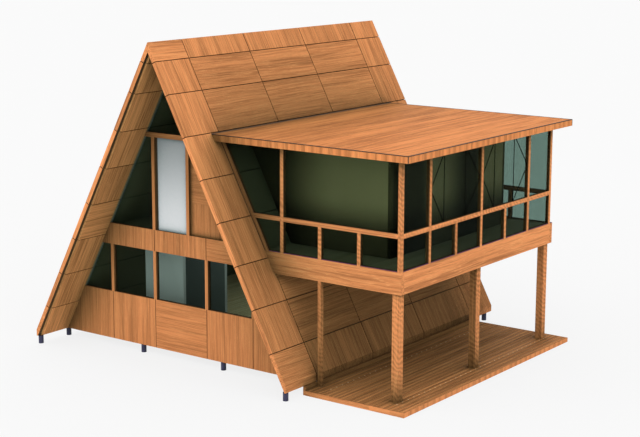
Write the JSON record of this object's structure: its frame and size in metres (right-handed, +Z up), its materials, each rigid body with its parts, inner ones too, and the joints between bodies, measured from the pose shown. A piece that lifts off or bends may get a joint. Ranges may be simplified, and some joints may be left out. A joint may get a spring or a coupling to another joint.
{
  "type": "a-frame cabin",
  "caption": "A-frame timber cabin: steep panelled roof slopes down to short piles, part-glazed gables, and a flat-roofed glazed gallery on posts over a deck.",
  "frame": {"origin": "ground level, under the middle of the whole footprint", "axes": "+X from the roof's closed slope to the gallery side, +Y along the ridge away from the front gable, +Z up"},
  "size_m": [11.7872, 9.99, 8.6115],
  "materials": {
    "roof_wood": "oiled larch panel, satin",
    "lining_wood": "oiled larch lining, satin",
    "wall_wood": "oiled larch panel, satin",
    "frame_wood": "planed larch, satin",
    "floor_boards": "brown boards, matt",
    "deck_wood": "larch decking, satin",
    "window_glass": "dark green tinted glass",
    "white_board": "white painted board, matt",
    "plaster": "pale painted board, matt",
    "pile_steel": "dark blue coating, satin"
  },
  "bodies": {
    "root": {"ground_piles": "pile_steel", "ground_floor": "floor_boards", "upper_floor": "floor_boards", "core_cross_walls": "plaster", "core_side_walls": "plaster", "left_roof_panels": "roof_wood", "left_roof_lining": "lining_wood", "right_roof_panels": "roof_wood", "right_roof_lining": "lining_wood", "front_lower_panels": "wall_wood", "front_window_posts": "frame_wood", "front_window_glass": "window_glass", "front_floor_band": "wall_wood", "front_upper_posts": "frame_wood", "front_upper_panels": "wall_wood", "front_white_panel": "white_board", "front_tie_beam": "frame_wood", "front_upper_glass": "window_glass", "back_lower_panels": "wall_wood", "back_window_posts": "frame_wood", "back_window_glass": "window_glass", "back_floor_band": "wall_wood", "back_upper_posts": "frame_wood", "back_upper_panels": "wall_wood", "back_white_panel": "white_board", "back_tie_beam": "frame_wood", "back_upper_glass": "window_glass", "gallery_rim_ends": "frame_wood", "gallery_rim_side": "frame_wood", "gallery_floor": "floor_boards", "gallery_side_posts": "frame_wood", "gallery_end_posts": "frame_wood", "gallery_short_posts": "frame_wood", "gallery_rails": "frame_wood", "gallery_trims": "frame_wood", "gallery_front_glass": "window_glass", "gallery_side_glass": "window_glass", "gallery_back_glass": "window_glass", "room_end_walls": "plaster", "room_side_wall": "plaster", "canopy_roof": "roof_wood", "terrace_posts": "frame_wood", "terrace_slim_post": "frame_wood", "terrace_deck": "deck_wood", "terrace_kerb": "deck_wood"}
  },
  "joints": []
}
